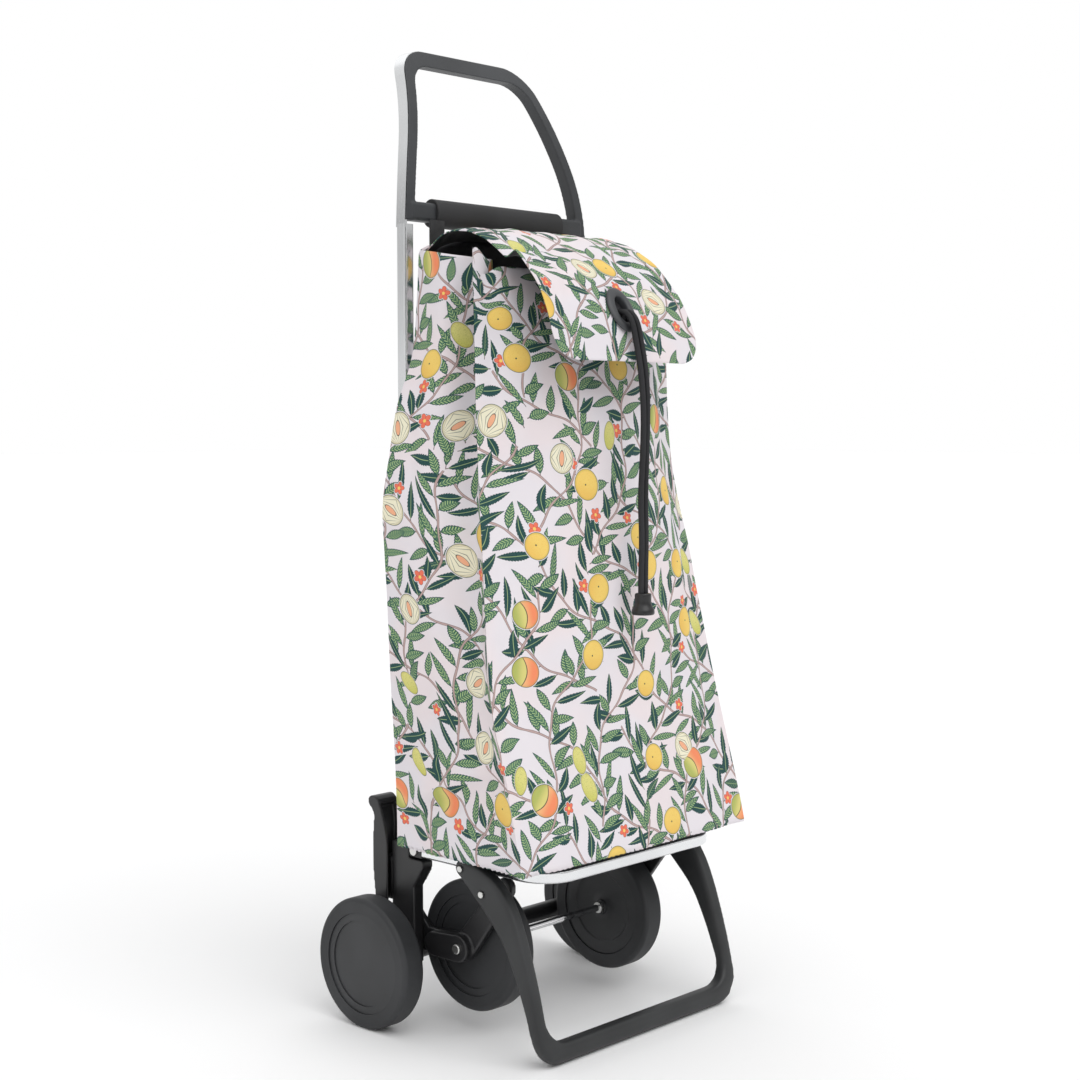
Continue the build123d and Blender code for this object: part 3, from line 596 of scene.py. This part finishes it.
def shade_smooth(piece, angle=None):
    for polygon in piece.data.polygons:
        polygon.use_smooth = True
    if angle is not None:
        bpy.context.view_layer.objects.active = piece
        for other in bpy.context.selected_objects:
            other.select_set(False)
        piece.select_set(True)
        bpy.ops.object.shade_smooth_by_angle(angle=math.radians(angle))


def apply_modifiers(piece):
    graph = bpy.context.evaluated_depsgraph_get()
    mesh = bpy.data.meshes.new_from_object(piece.evaluated_get(graph))
    piece.modifiers.clear()
    piece.data = mesh


def thickened(piece, thickness):
    """Gives a sheet its thickness, on its inner side."""
    modifier = piece.modifiers.new("thickness", "SOLIDIFY")
    modifier.thickness = thickness
    modifier.offset = -1
    return modifier


def subdivided(piece):
    modifier = piece.modifiers.new("smooth", "SUBSURF")
    modifier.levels = 1
    modifier.render_levels = 1


def welded(mesh):
    """Joins the points that lie on each other and turns all faces outwards."""
    joined = bmesh.new()
    joined.from_mesh(mesh)
    bmesh.ops.remove_doubles(joined, verts=joined.verts, dist=1e-6)
    bmesh.ops.recalc_face_normals(joined, faces=joined.faces)
    joined.to_mesh(mesh)
    joined.free()


def softened(node_name, voxel, rounds):
    """A copy of a CAD node with its edges rounded, which then stands for it."""
    node = nodes[node_name]
    piece = new_object(node_name + "_moulded", node.data.copy())
    remesh = piece.modifiers.new("remesh", "REMESH")
    remesh.mode = "VOXEL"
    remesh.voxel_size = voxel
    smooth = piece.modifiers.new("smooth", "SMOOTH")
    smooth.factor = 0.5
    smooth.iterations = rounds
    apply_modifiers(piece)
    shade_smooth(piece)
    piece.data.materials.clear()
    piece.data.materials.append(node.data.materials[0])
    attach(piece, node["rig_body"])
    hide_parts(node_name)


def grid_mesh(name, rows, closed, uvs=None):
    """Mesh through rows of points. uvs holds one (u, v) per point, in metres of cloth."""
    row_count = len(rows)
    column_count = len(rows[0])
    vertices = [tuple(p) for row in rows for p in row]
    faces = []
    spans = column_count if closed else column_count - 1
    for i in range(row_count - 1):
        for j in range(spans):
            k = (j + 1) % column_count
            faces.append((
                i * column_count + j,
                (i + 1) * column_count + j,
                (i + 1) * column_count + k,
                i * column_count + k,
            ))
    mesh = bpy.data.meshes.new(name)
    mesh.from_pydata(vertices, [], faces)
    if uvs is not None:
        layer = mesh.uv_layers.new(name=CLOTH_UV)
        loop = 0
        for i in range(row_count - 1):
            for j in range(spans):
                corners = ((i, j), (i + 1, j), (i + 1, j + 1), (i, j + 1))
                for a, b in corners:
                    layer.data[loop].uv = uvs[a][b]
                    loop += 1
    mesh.update()
    return mesh


# ---------------------------------------------------------------- bag

# height, rear corner x, rear y, front corner x, front corner y, bulge of the front
BAG_ROWS = np.array([
    (0.1945, 0.1640, 0.050, 0.1765, -0.1430, 0.002),
    (0.2200, 0.1630, 0.051, 0.1762, -0.1370, 0.004),
    (0.2500, 0.1630, 0.052, 0.1755, -0.1293, 0.008),
    (0.3000, 0.1645, 0.053, 0.1750, -0.1153, 0.014),
    (0.3500, 0.1670, 0.054, 0.1747, -0.1013, 0.020),
    (0.4000, 0.1690, 0.055, 0.1710, -0.0913, 0.026),
    (0.4500, 0.1712, 0.055, 0.1660, -0.0823, 0.031),
    (0.5000, 0.1745, 0.055, 0.1610, -0.0743, 0.036),
    (0.5500, 0.1765, 0.055, 0.1550, -0.0643, 0.039),
    (0.6000, 0.1670, 0.055, 0.1506, -0.0573, 0.040),
    (0.6500, 0.1570, 0.054, 0.1494, -0.0538, 0.038),
    (0.7000, 0.1360, 0.054, 0.1490, -0.0520, 0.030),
    (0.7500, 0.1300, 0.053, 0.1490, -0.0505, 0.018),
    (0.8080, 0.1270, 0.052, 0.1490, -0.0490, 0.000),
])


def bag_numbers(z):
    """The outline's numbers at a height, smoothly between the table's rows."""
    heights = BAG_ROWS[:, 0]
    return [float(smooth_between(z, heights, BAG_ROWS[:, k])) for k in range(1, 6)]


def smooth_between(z, heights, values):
    """Cubic through the values, without overshoot."""
    slopes = np.gradient(values, heights)
    i = int(np.clip(np.searchsorted(heights, z) - 1, 0, len(heights) - 2))
    step = heights[i + 1] - heights[i]
    t = float(np.clip((z - heights[i]) / step, 0, 1))
    h00 = 2 * t**3 - 3 * t**2 + 1
    h10 = t**3 - 2 * t**2 + t
    h01 = -2 * t**3 + 3 * t**2
    h11 = t**3 - t**2
    return h00 * values[i] + h10 * step * slopes[i] + h01 * values[i + 1] + h11 * step * slopes[i + 1]


REAR_POINTS = 30
SIDE_POINTS = 28
FRONT_POINTS = 48
RING_POINTS = REAR_POINTS + 2 * SIDE_POINTS + FRONT_POINTS
# Ring points at the bag's four corners, clockwise from above.
REAR_LEFT = 0
REAR_RIGHT = REAR_POINTS
FRONT_RIGHT = REAR_RIGHT + SIDE_POINTS
FRONT_LEFT = FRONT_RIGHT + FRONT_POINTS

BAG_BOTTOM = 0.1945
BAG_TOP = 0.808
BAG_STEPS = 88
BAG_HEIGHTS = [BAG_BOTTOM + (BAG_TOP - BAG_BOTTOM) * i / BAG_STEPS for i in range(BAG_STEPS + 1)]
BAG_THICKNESS = 0.0016
RIM_START = 0.68  # the rim's waves begin at this height


def bump_at(value, centre, width):
    return math.exp(-((value - centre) / width) ** 2)


def fold_in(z, share):
    """How far the side panel lies inside the line between its corners. share runs rear to front."""
    depth = 0.004 + 0.040 * bump_at(z, 0.81, 0.19) + 0.012 * bump_at(z, 0.55, 0.15)
    depth += 0.010 * bump_at(z, 0.40, 0.12)
    hollow = bump_at(share, 0.80, 0.20) * (1 - share) ** 0.35 * 1.7
    return depth * hollow


# Waves along the cloth and up it, phase and size.
WAVES = (
    (11.0, 7.0, 0.3, 1.0), (23.0, 5.0, 1.9, 0.6), (7.0, 17.0, 4.1, 0.5),
    (31.0, 13.0, 2.2, 0.35), (41.0, 29.0, 5.0, 0.2),
)


def wrinkle(u, z):
    """Small uneven waves of the cloth."""
    value = 0.0
    for fu, fz, phase, size in WAVES:
        turns = fu * u * 0.5 + 0.5 * fz * z
        value += size * math.sin(2 * math.pi * turns + phase + 1.3 * math.sin(fz * z * 2))
    return value / sum(size for _, _, _, size in WAVES)


def side_place(share, z):
    """Point of the right side panel. share runs from the rear corner to the front corner."""
    rear_x, rear_y, front_x, front_y, _ = bag_numbers(z)
    x = rear_x + (front_x - rear_x) * share
    y = rear_y + (front_y - rear_y) * share
    # A ridge with a tuck under it runs up the lower part of the panel.
    crease = 0.0
    fold_line = 0.238 + (0.298 - 0.238) * (share - 0.05) / 0.85
    if share > 0.04:
        spread = bump_at(share, 0.5, 0.42)
        crease = 0.0060 * bump_at(z, fold_line + 0.002, 0.008) * spread
        crease -= 0.0070 * bump_at(z, fold_line - 0.016, 0.013) * spread
    return x - fold_in(z, share) + crease, y


def bag_ring(z, inset=0.0):
    """Closed ring of points at a height: rear left to rear right, right side, front, left side.

    The ring lies inwards by inset, which is the lining's distance from the bag.
    """
    rear_x, rear_y, front_x, front_y, bulge = bag_numbers(z)
    points = []

    def side(share, sign):
        x, y = side_place(share, z)
        wave = wrinkle(share * 0.35 + (0 if sign < 0 else 0.7), z)
        x += 0.0022 * wave * math.sin(math.pi * share)
        return sign * (x - inset), y - inset * (1 - 2 * share)

    for k in range(REAR_POINTS):
        share = k / REAR_POINTS
        bow = 0.0015 * wrinkle(share * 0.4 + 1.7, z) * math.sin(math.pi * share)
        x = -rear_x + 2 * rear_x * share
        points.append((x * (rear_x - inset) / rear_x, rear_y + min(bow, 0.0) - inset))
    for k in range(SIDE_POINTS):
        points.append(side(k / SIDE_POINTS, 1))
    for k in range(FRONT_POINTS):
        share = k / FRONT_POINTS
        across = 1 - 2 * share
        arch = 1 - abs(across) ** 2.3
        wave = 0.0020 * wrinkle(share * 0.5 + 0.2, z) * arch
        # A shallow valley just inside each corner makes the corner stand as a crease.
        pinch = 0.006 * bump_at(abs(across), 0.86, 0.09) * (0.4 + 0.6 * bump_at(z, 0.62, 0.25))
        y = front_y - bulge * arch - wave + pinch
        points.append((across * (front_x - inset), y + inset))
    for k in range(SIDE_POINTS):
        points.append(side(1 - k / SIDE_POINTS, -1))
    return points


def ring_uvs(rings, heights):
    """Cloth coordinates: u from the ring's own length on each panel, v from the height."""
    uvs = []
    for ring, z in zip(rings, heights):
        pts = np.array(ring + [ring[0]])
        gaps = np.linalg.norm(np.diff(pts, axis=0), axis=1)
        s = np.concatenate([[0], np.cumsum(gaps)])
        front_middle = s[FRONT_RIGHT + FRONT_POINTS // 2]
        uvs.append([(float(a - front_middle), z) for a in s])
    return uvs


def rim_shift(z, k):
    """How far a ring point near the rim lies above or below its level."""
    near_rim = max(0.0, (z - RIM_START) / (BAG_TOP - RIM_START)) ** 2
    if k < REAR_RIGHT:
        across = abs(1 - 2 * k / REAR_POINTS)
        return near_rim * (0.0030 + 0.0175 * (1 - across**4))
    if FRONT_RIGHT <= k < FRONT_LEFT:
        across = 1 - 2 * (k - FRONT_RIGHT) / FRONT_POINTS
        horn = 0.018 * bump_at(across, -1.0, 0.05)
        return near_rim * (-0.018 - 0.010 * bump_at(abs(across), 0.86, 0.07) + horn)
    # The left front corner stands up as a small horn; the right one lies under the flap.
    if k < FRONT_RIGHT:
        share, horn = (k - REAR_RIGHT) / SIDE_POINTS, -0.006
    else:
        share, horn = 1 - (k - FRONT_LEFT) / SIDE_POINTS, 0.012
    slope = 0.0030 - 0.0150 * min(1.0, share / 0.9) ** 1.2
    return near_rim * (slope + horn * bump_at(share, 1.0, 0.07))


def cloth_tube(name, rings, heights, materials, bottom_material):
    """Mesh of the rings one above the other, closed by one face at the bottom."""
    rows = [
        [(x, y, z + rim_shift(z, k)) for k, (x, y) in enumerate(ring)]
        for ring, z in zip(rings, heights)
    ]
    mesh = grid_mesh(name, rows, True, ring_uvs(rings, heights))
    for material in materials:
        mesh.materials.append(material)
    closed = bmesh.new()
    closed.from_mesh(mesh)
    closed.verts.ensure_lookup_table()
    bottom = closed.faces.new([closed.verts[k] for k in range(RING_POINTS)])
    bottom.material_index = bottom_material
    closed.to_mesh(mesh)
    closed.free()
    return new_object(name, mesh)


def crease_corners(mesh):
    corners = {REAR_LEFT, REAR_RIGHT, FRONT_RIGHT, FRONT_LEFT}
    crease = mesh.attributes.new("crease_edge", "FLOAT", "EDGE")
    for edge in mesh.edges:
        a, b = edge.vertices
        if a % RING_POINTS == b % RING_POINTS and a % RING_POINTS in corners:
            crease.data[edge.index].value = 0.75
        elif a < RING_POINTS and b < RING_POINTS:
            crease.data[edge.index].value = 0.9


bag = cloth_tube("bag_cloth", [bag_ring(z) for z in BAG_HEIGHTS], BAG_HEIGHTS, (cloth, back_cloth), 1)
for index in range(RING_POINTS * BAG_STEPS):
    # The print wraps a little way round onto the rear panel.
    if 1 < index % RING_POINTS < REAR_POINTS - 2:
        bag.data.polygons[index].material_index = 1
crease_corners(bag.data)
thickened(bag, BAG_THICKNESS)
subdivided(bag)
apply_modifiers(bag)
shade_smooth(bag, 50)
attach(bag, "rear_frame")
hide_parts("bag_body")
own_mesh(bag)

# ---------------------------------------------------------------- lining

LINING_GAP = 0.0026
LINING_THICKNESS = 0.0005
LINING_HEIGHTS = BAG_HEIGHTS[2:-1] + [BAG_TOP - BAG_THICKNESS]

lining_rings = [bag_ring(z, LINING_GAP) for z in LINING_HEIGHTS]
lining = cloth_tube("bag_lining_cloth", lining_rings, LINING_HEIGHTS, (lining_cloth,), 0)
thickened(lining, LINING_THICKNESS)
apply_modifiers(lining)
shade_smooth(lining)
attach(lining, "rear_frame")
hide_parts("bag_lining")
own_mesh(lining)

# ---------------------------------------------------------------- flap

# Side view of the flap's middle, from the sewn edge forwards and down: y, z.
FLAP_MIDDLE = [
    (0.050, 0.8265), (0.030, 0.8330), (0.008, 0.8350), (-0.018, 0.8310), (-0.045, 0.8180),
    (-0.074, 0.7960), (-0.100, 0.7690), (-0.119, 0.7340), (-0.1305, 0.6950),
]
FLAP_ROWS = 72
FLAP_COLUMNS = 64
FLAP_HALF = 0.1135
FLAP_CORNER = 0.030
FLAP_THICKNESS = 0.0020


def polyline_lengths(points):
    points = np.array(points, float)
    return np.concatenate([[0], np.cumsum(np.linalg.norm(np.diff(points, axis=0), axis=1))])


def smooth_line(points, share):
    """Point at a share of the way along a smooth line through the points."""
    points = np.array(points, float)
    lengths = polyline_lengths(points)
    return [smooth_between(share * lengths[-1], lengths, points[:, k]) for k in range(points.shape[1])]


FLAP_LENGTH = float(polyline_lengths(FLAP_MIDDLE)[-1])


def flap_point(share, across):
    """Outer surface of the flap. share runs from sewn edge to front edge, across from -1 to 1."""
    y, z = smooth_line(FLAP_MIDDLE, share)
    y2, z2 = smooth_line(FLAP_MIDDLE, min(1.0, share + 0.01))
    y1, z1 = smooth_line(FLAP_MIDDLE, max(0.0, share - 0.01))
    run = Vector((0, y2 - y1, z2 - z1)).normalized()
    normal = Vector((0, run.z, -run.y)) * -1
    if normal.z < 0 and share < 0.5:
        normal = -normal
    half = FLAP_HALF + 0.012 * max(0.0, 1 - share / 0.20) ** 2
    to_end = (1 - share) * FLAP_LENGTH
    if to_end < FLAP_CORNER:
        d = FLAP_CORNER - to_end
        half -= FLAP_CORNER - math.sqrt(max(FLAP_CORNER**2 - d**2, 0.0))
    x = half * across
    wide = x / FLAP_HALF
    edge = min(1.0, abs(wide))
    droop = 0.0055 * edge**2.5 * math.sin(math.pi * min(1.0, share * 1.15)) ** 0.8
    if wide > 0:
        droop *= 0.15
        droop -= 0.004 * edge**2 * bump_at(share, 0.75, 0.35)
    droop += 0.0016 * bump_at(edge, 1.0, 0.06)
    droop += 0.0165 * edge**4 * max(0.0, 1 - share / 0.16) ** 2
    waves = 0.0016 * wrinkle(0.45 * wide + 0.6, share * 0.5 + 0.4)
    waves *= math.sin(math.pi * min(1, share + 0.1))
    return Vector((x, y, z)) + normal * (waves - droop)


def make_flap():
    rows = []
    uvs = []
    for i in range(FLAP_ROWS):
        share = i / (FLAP_ROWS - 1)
        row = []
        uv_row = []
        for j in range(FLAP_COLUMNS):
            across = -1 + 2 * j / (FLAP_COLUMNS - 1)
            p = flap_point(share, across)
            row.append(tuple(p))
            uv_row.append((p.x + 0.31, 1.35 - share * FLAP_LENGTH))
        rows.append(row)
        uvs.append(uv_row)
    mesh = grid_mesh("bag_flap_cloth", rows, False, uvs)
    mesh.materials.append(cloth)
    mesh.materials.append(lining_cloth)
    return new_object("bag_flap_cloth", mesh)


EYELET_CENTRE = Vector((0.0, -0.1133, 0.7473))
EYELET_SLOPE = math.radians(27.0)
# Half width and half height of three ovals, from the hole outwards.
EYELET_HOLE = (0.0088, 0.0148)
EYELET_NECK = (0.0115, 0.0175)
EYELET_OUTSIDE = (0.0190, 0.0260)
EYELET_DEPTH = 0.004
eyelet_normal = Vector((0, -math.cos(EYELET_SLOPE), math.sin(EYELET_SLOPE)))
eyelet_up = Vector((0, math.sin(EYELET_SLOPE), math.cos(EYELET_SLOPE)))


def sink_eyelet_hole_painted_shade(piece):
    """Inside the eyelet the flap's faces sink a few millimetres back and take the black lining cloth,
    a dark sheet as painted shade where the hole shows shadow.
    """
    def inside(place):
        rise = place - EYELET_CENTRE
        across = rise.x / EYELET_NECK[0]
        up = rise.dot(eyelet_up) / EYELET_NECK[1]
        return across**2 + up**2 < 1 and rise.length < EYELET_OUTSIDE[1] + EYELET_DEPTH

    # Painted shade: black lining cloth fills the eyelet's hole.
    for polygon in piece.data.polygons:
        if inside(polygon.center):
            polygon.material_index = 1
    for vertex in piece.data.vertices:
        if inside(vertex.co):
            vertex.co -= EYELET_DEPTH * eyelet_normal


flap = make_flap()
# The black faces in the eyelet's hole are painted shade.
sink_eyelet_hole_painted_shade(flap)
inner_layer = thickened(flap, FLAP_THICKNESS)
inner_layer.material_offset = 1
inner_layer.material_offset_rim = 0
subdivided(flap)
apply_modifiers(flap)
shade_smooth(flap, 60)
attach(flap, "flap")
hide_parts("bag_flap")

# ---------------------------------------------------------------- eyelet

# Profile of the ring: share from the hole's edge (0) to the outer edge (1), height above the cloth.
EYELET_PROFILE = [
    (0.00, -0.0050), (0.00, 0.0022), (0.06, 0.0034), (0.18, 0.0042), (0.40, 0.0045), (0.66, 0.0041),
    (0.88, 0.0031), (0.985, 0.0019), (1.00, 0.0008), (0.90, 0.0006), (0.17, 0.0006), (0.17, -0.0050),
]
EYELET_STEPS = 72


def oval_place(oval, turn):
    return Vector((oval[0] * math.cos(turn), oval[1] * math.sin(turn)))


def make_eyelet():
    rows = []
    for share, height in EYELET_PROFILE:
        row = []
        for k in range(EYELET_STEPS):
            turn = 2 * math.pi * k / EYELET_STEPS
            flat = oval_place(EYELET_HOLE, turn).lerp(oval_place(EYELET_OUTSIDE, turn), share)
            sideways = Vector((flat.x, 0, 0))
            row.append(tuple(EYELET_CENTRE + sideways + eyelet_up * flat.y + eyelet_normal * height))
        rows.append(row)
    rows.append(rows[0])
    mesh = grid_mesh("eyelet_ring", rows, True)
    mesh.materials.append(eyelet_plastic)
    welded(mesh)
    return new_object("eyelet_ring", mesh)


eyelet = make_eyelet()
subdivided(eyelet)
apply_modifiers(eyelet)
shade_smooth(eyelet, 50)
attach(eyelet, "flap")
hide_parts("eyelet_front")

# ---------------------------------------------------------------- drawcord

CORD_DIAMETER = 0.006
# Each strand's length and its route from behind the eyelet down to the bell.
STRAND_ROUTES = {
    "drawcord_near": (0.3124, [
        (-0.0033, -0.1017, 0.7436), (-0.0033, -0.1151, 0.7460), (-0.0030, -0.1236, 0.7447),
        (-0.0026, -0.1295, 0.7387), (-0.0018, -0.1327, 0.7291), (-0.0008, -0.1343, 0.7175),
        (0.0010, -0.1366, 0.7020), (0.0040, -0.1382, 0.6800), (0.0075, -0.1385, 0.6450),
        (0.0080, -0.1370, 0.6000), (0.0045, -0.1368, 0.5560), (0.0076, -0.1365, 0.5120),
        (0.0066, -0.1360, 0.4800), (0.0066, -0.1360, 0.4580),
    ]),
    "drawcord_far": (0.3133, [
        (0.0033, -0.1015, 0.7441), (0.0035, -0.1151, 0.7465), (0.0039, -0.1237, 0.7452),
        (0.0044, -0.1299, 0.7390), (0.0053, -0.1333, 0.7294), (0.0064, -0.1350, 0.7177),
        (0.0083, -0.1372, 0.7020), (0.0114, -0.1386, 0.6800), (0.0143, -0.1380, 0.6460),
        (0.0146, -0.1364, 0.6020), (0.0126, -0.1362, 0.5580), (0.0146, -0.1360, 0.5140),
        (0.0134, -0.1360, 0.4820), (0.0134, -0.1360, 0.4580),
    ]),
}
for strand_name, (strand_length, route) in STRAND_ROUTES.items():
    curve = bpy.data.curves.new(strand_name + "_braid", "CURVE")
    curve.dimensions = "3D"
    spline = curve.splines.new("NURBS")
    spline.points.add(len(route) - 1)
    for control, point in zip(spline.points, route):
        control.co = (*point, 1)
    spline.order_u = 3
    spline.use_endpoint_u = True
    spline.resolution_u = 16
    curve.bevel_depth = CORD_DIAMETER / 2
    curve.bevel_resolution = 5
    curve.use_fill_caps = True
    curve.materials.append(cord_braid)
    strand = new_object(strand_name + "_braid", curve)
    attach(strand, "flap")
    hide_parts(strand_name)

# ---------------------------------------------------------------- wheel centres

TURNED_STEPS = 96
WHEEL_BORE = 0.0041
# Radius and distance from the wheel's inner face, from the bore outwards and back to the hub.
WHEEL_PROFILE = [
    (WHEEL_BORE, 0.0002), (0.0072, 0.0002), (0.0080, 0.0008), (0.0088, 0.0034), (0.0112, 0.0046),
    (0.0180, 0.0050), (0.0340, 0.0044), (0.0378, 0.0040), (0.0386, 0.0032), (0.0392, 0.0026),
    (0.0450, 0.0022), (0.0520, 0.0020), (0.0529, 0.0026), (0.0529, 0.0222), (0.0480, 0.0222),
    (0.0478, 0.0130), (0.0122, 0.0128),
]


def node_middle(node):
    points = np.array([node.matrix_world @ vertex.co for vertex in node.data.vertices])
    return (points.min(axis=0) + points.max(axis=0)) / 2


def wheel_centre(node_name, inner_face, sign, hub_end):
    """Dished disc with a hub, turned from a profile of radius and distance from the inner face."""
    profile = WHEEL_PROFILE + [(0.0120, hub_end), (WHEEL_BORE, hub_end)]
    middle = node_middle(nodes[node_name])
    rows = []
    for k in range(TURNED_STEPS + 1):
        turn = 2 * math.pi * k / TURNED_STEPS
        rows.append([
            (
                sign * (inner_face + out),
                middle[1] + radius * math.cos(turn),
                middle[2] + radius * math.sin(turn),
            )
            for radius, out in profile
        ])
    mesh = grid_mesh(node_name + "_turned", rows, True)
    welded(mesh)
    mesh.materials.append(wheel_plastic)
    piece = new_object(node_name + "_turned", mesh)
    shade_smooth(piece, 35)
    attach(piece, nodes[node_name]["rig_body"])
    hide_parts(node_name)


for side_name, side_sign in (("left", -1), ("right", 1)):
    wheel_centre(f"front_wheel_centre_{side_name}", 0.0883, side_sign, 0.0289)
    wheel_centre(f"rear_wheel_centre_{side_name}", 0.1610, side_sign, 0.0129)

# ---------------------------------------------------------------- moulded plastics

softened("front_leg", 0.0018, 42)
softened("handle_grip", 0.0009, 10)
for side_name in ("left", "right"):
    softened(f"foot_moulding_{side_name}", 0.0012, 3)
    softened(f"kerb_skid_{side_name}", 0.0010, 3)
    softened(f"wheel_arm_{side_name}", 0.0012, 3)

# ---------------------------------------------------------------- floor

floor_mesh = bpy.data.meshes.new("studio_floor")
floor_mesh.from_pydata([(-30, -30, 0), (30, -30, 0), (30, 30, 0), (-30, 30, 0)], [], [(0, 1, 2, 3)])
floor = new_object("studio_floor", floor_mesh)
floor_graph = Graph("studio_floor")
floor_cloud = floor_graph.noise(floor_graph.coordinates(), 1.5, 2.0)
floor_graph.surface(
    Base_Color=floor_graph.mix(floor_cloud, (0.90, 0.90, 0.90), (0.92, 0.92, 0.92)),
    Roughness=0.9,
)
floor_mesh.materials.append(floor_graph.material)
